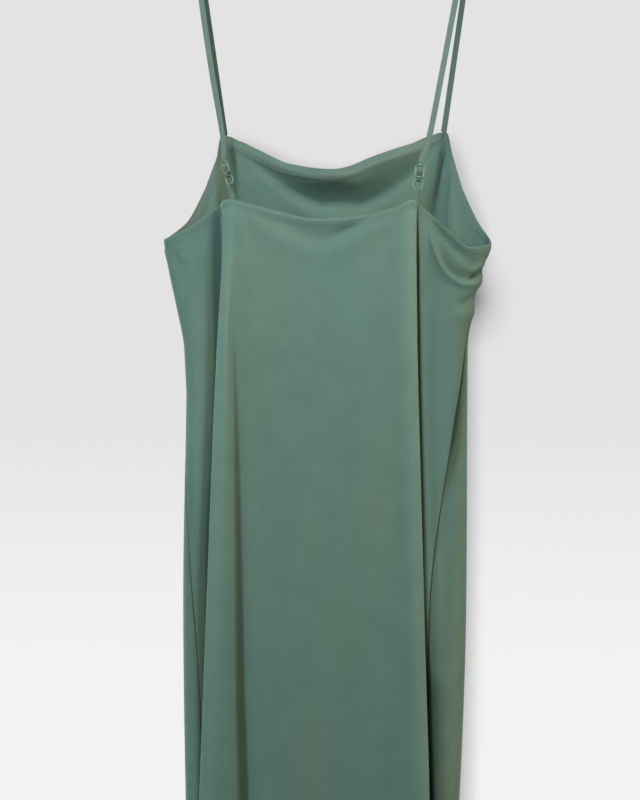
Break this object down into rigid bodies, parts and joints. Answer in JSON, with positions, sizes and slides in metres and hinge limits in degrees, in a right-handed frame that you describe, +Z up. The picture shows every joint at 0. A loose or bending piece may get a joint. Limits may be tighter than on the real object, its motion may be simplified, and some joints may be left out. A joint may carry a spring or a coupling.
{
  "type": "sundress on hanger",
  "caption": "Long sage-green jersey slip dress with thin adjustable shoulder straps, hanging by them from a plain wooden hanger.",
  "frame": {"origin": "the point where a rail bears inside the top of the hanger's hook", "axes": "+Z up; -Y out of the dress's back, which is the side seen first; +X towards the right armhole as seen from the back"},
  "size_m": [0.418, 0.1001, 1.4665],
  "materials": {
    "jersey": "smooth matt sage jersey with a faint soft sheen",
    "strap_jersey": "the same jersey, turned into narrow tubes",
    "fittings": "glossy dyed coat, sage like the cloth",
    "hanger_wood": "pale wood, satin lacquer",
    "hook_steel": "bright drawn wire"
  },
  "bodies": {
    "root": {"back_panel": "jersey", "front_panel": "jersey", "back_neck_band": "jersey", "front_neck_band": "jersey", "armhole_band_left": "jersey", "armhole_band_right": "jersey", "strap_left": "strap_jersey", "strap_right": "strap_jersey", "tab_left": "strap_jersey", "tab_right": "strap_jersey", "ring_left": "fittings", "ring_right": "fittings", "slider_left": "fittings", "slider_right": "fittings", "hanger_body": "hanger_wood", "hanger_hook": "hook_steel"}
  },
  "joints": []
}
